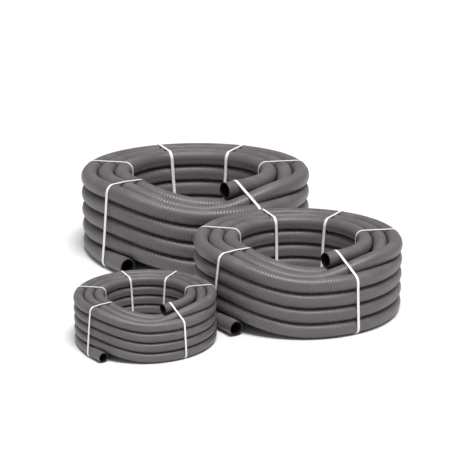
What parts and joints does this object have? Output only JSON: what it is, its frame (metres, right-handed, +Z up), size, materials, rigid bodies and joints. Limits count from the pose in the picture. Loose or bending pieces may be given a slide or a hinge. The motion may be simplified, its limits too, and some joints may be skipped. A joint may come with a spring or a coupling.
{
  "type": "coiled drain hose kit",
  "caption": "Free-standing coils of ribbed flexible grey hose in different bores, each wound round an open middle and bound with narrow white straps, both ends cut square.",
  "frame": {"origin": "centre of the kit's bounding box on the floor plane", "axes": "+Z up, -Y the front that shows both open ends of each hose, +X to the right seen from the front"},
  "size_m": [1.155, 1.6988, 0.317],
  "materials": {
    "hose": "satin grey flexible plastic with a fine spiral rib",
    "strap": "white woven-look plastic band, heat welded"
  },
  "bodies": {
    "large_coil": {"large_hose_coil": "hose", "large_hose_outer_end": "hose", "large_hose_inner_end": "hose", "large_strap_1": "strap", "large_strap_2": "strap", "large_strap_3": "strap", "large_strap_4": "strap", "large_strap_5": "strap", "large_strap_6": "strap"},
    "medium_coil": {"medium_hose_coil": "hose", "medium_hose_outer_end": "hose", "medium_hose_inner_end": "hose", "medium_strap_1": "strap", "medium_strap_2": "strap", "medium_strap_3": "strap", "medium_strap_4": "strap", "medium_strap_5": "strap", "medium_strap_6": "strap"},
    "small_coil": {"small_hose_coil": "hose", "small_hose_outer_end": "hose", "small_hose_inner_end": "hose", "small_strap_1": "strap", "small_strap_2": "strap", "small_strap_3": "strap", "small_strap_4": "strap", "small_strap_5": "strap", "small_strap_6": "strap"}
  },
  "joints": [
    {"name": "medium_coil_lift", "type": "slide", "parent": "large_coil", "child": "medium_coil", "axis": [0, 0, 1], "range_m": [0, 0.35]},
    {"name": "small_coil_lift", "type": "slide", "parent": "large_coil", "child": "small_coil", "axis": [0, 0, 1], "range_m": [0, 0.35]}
  ]
}
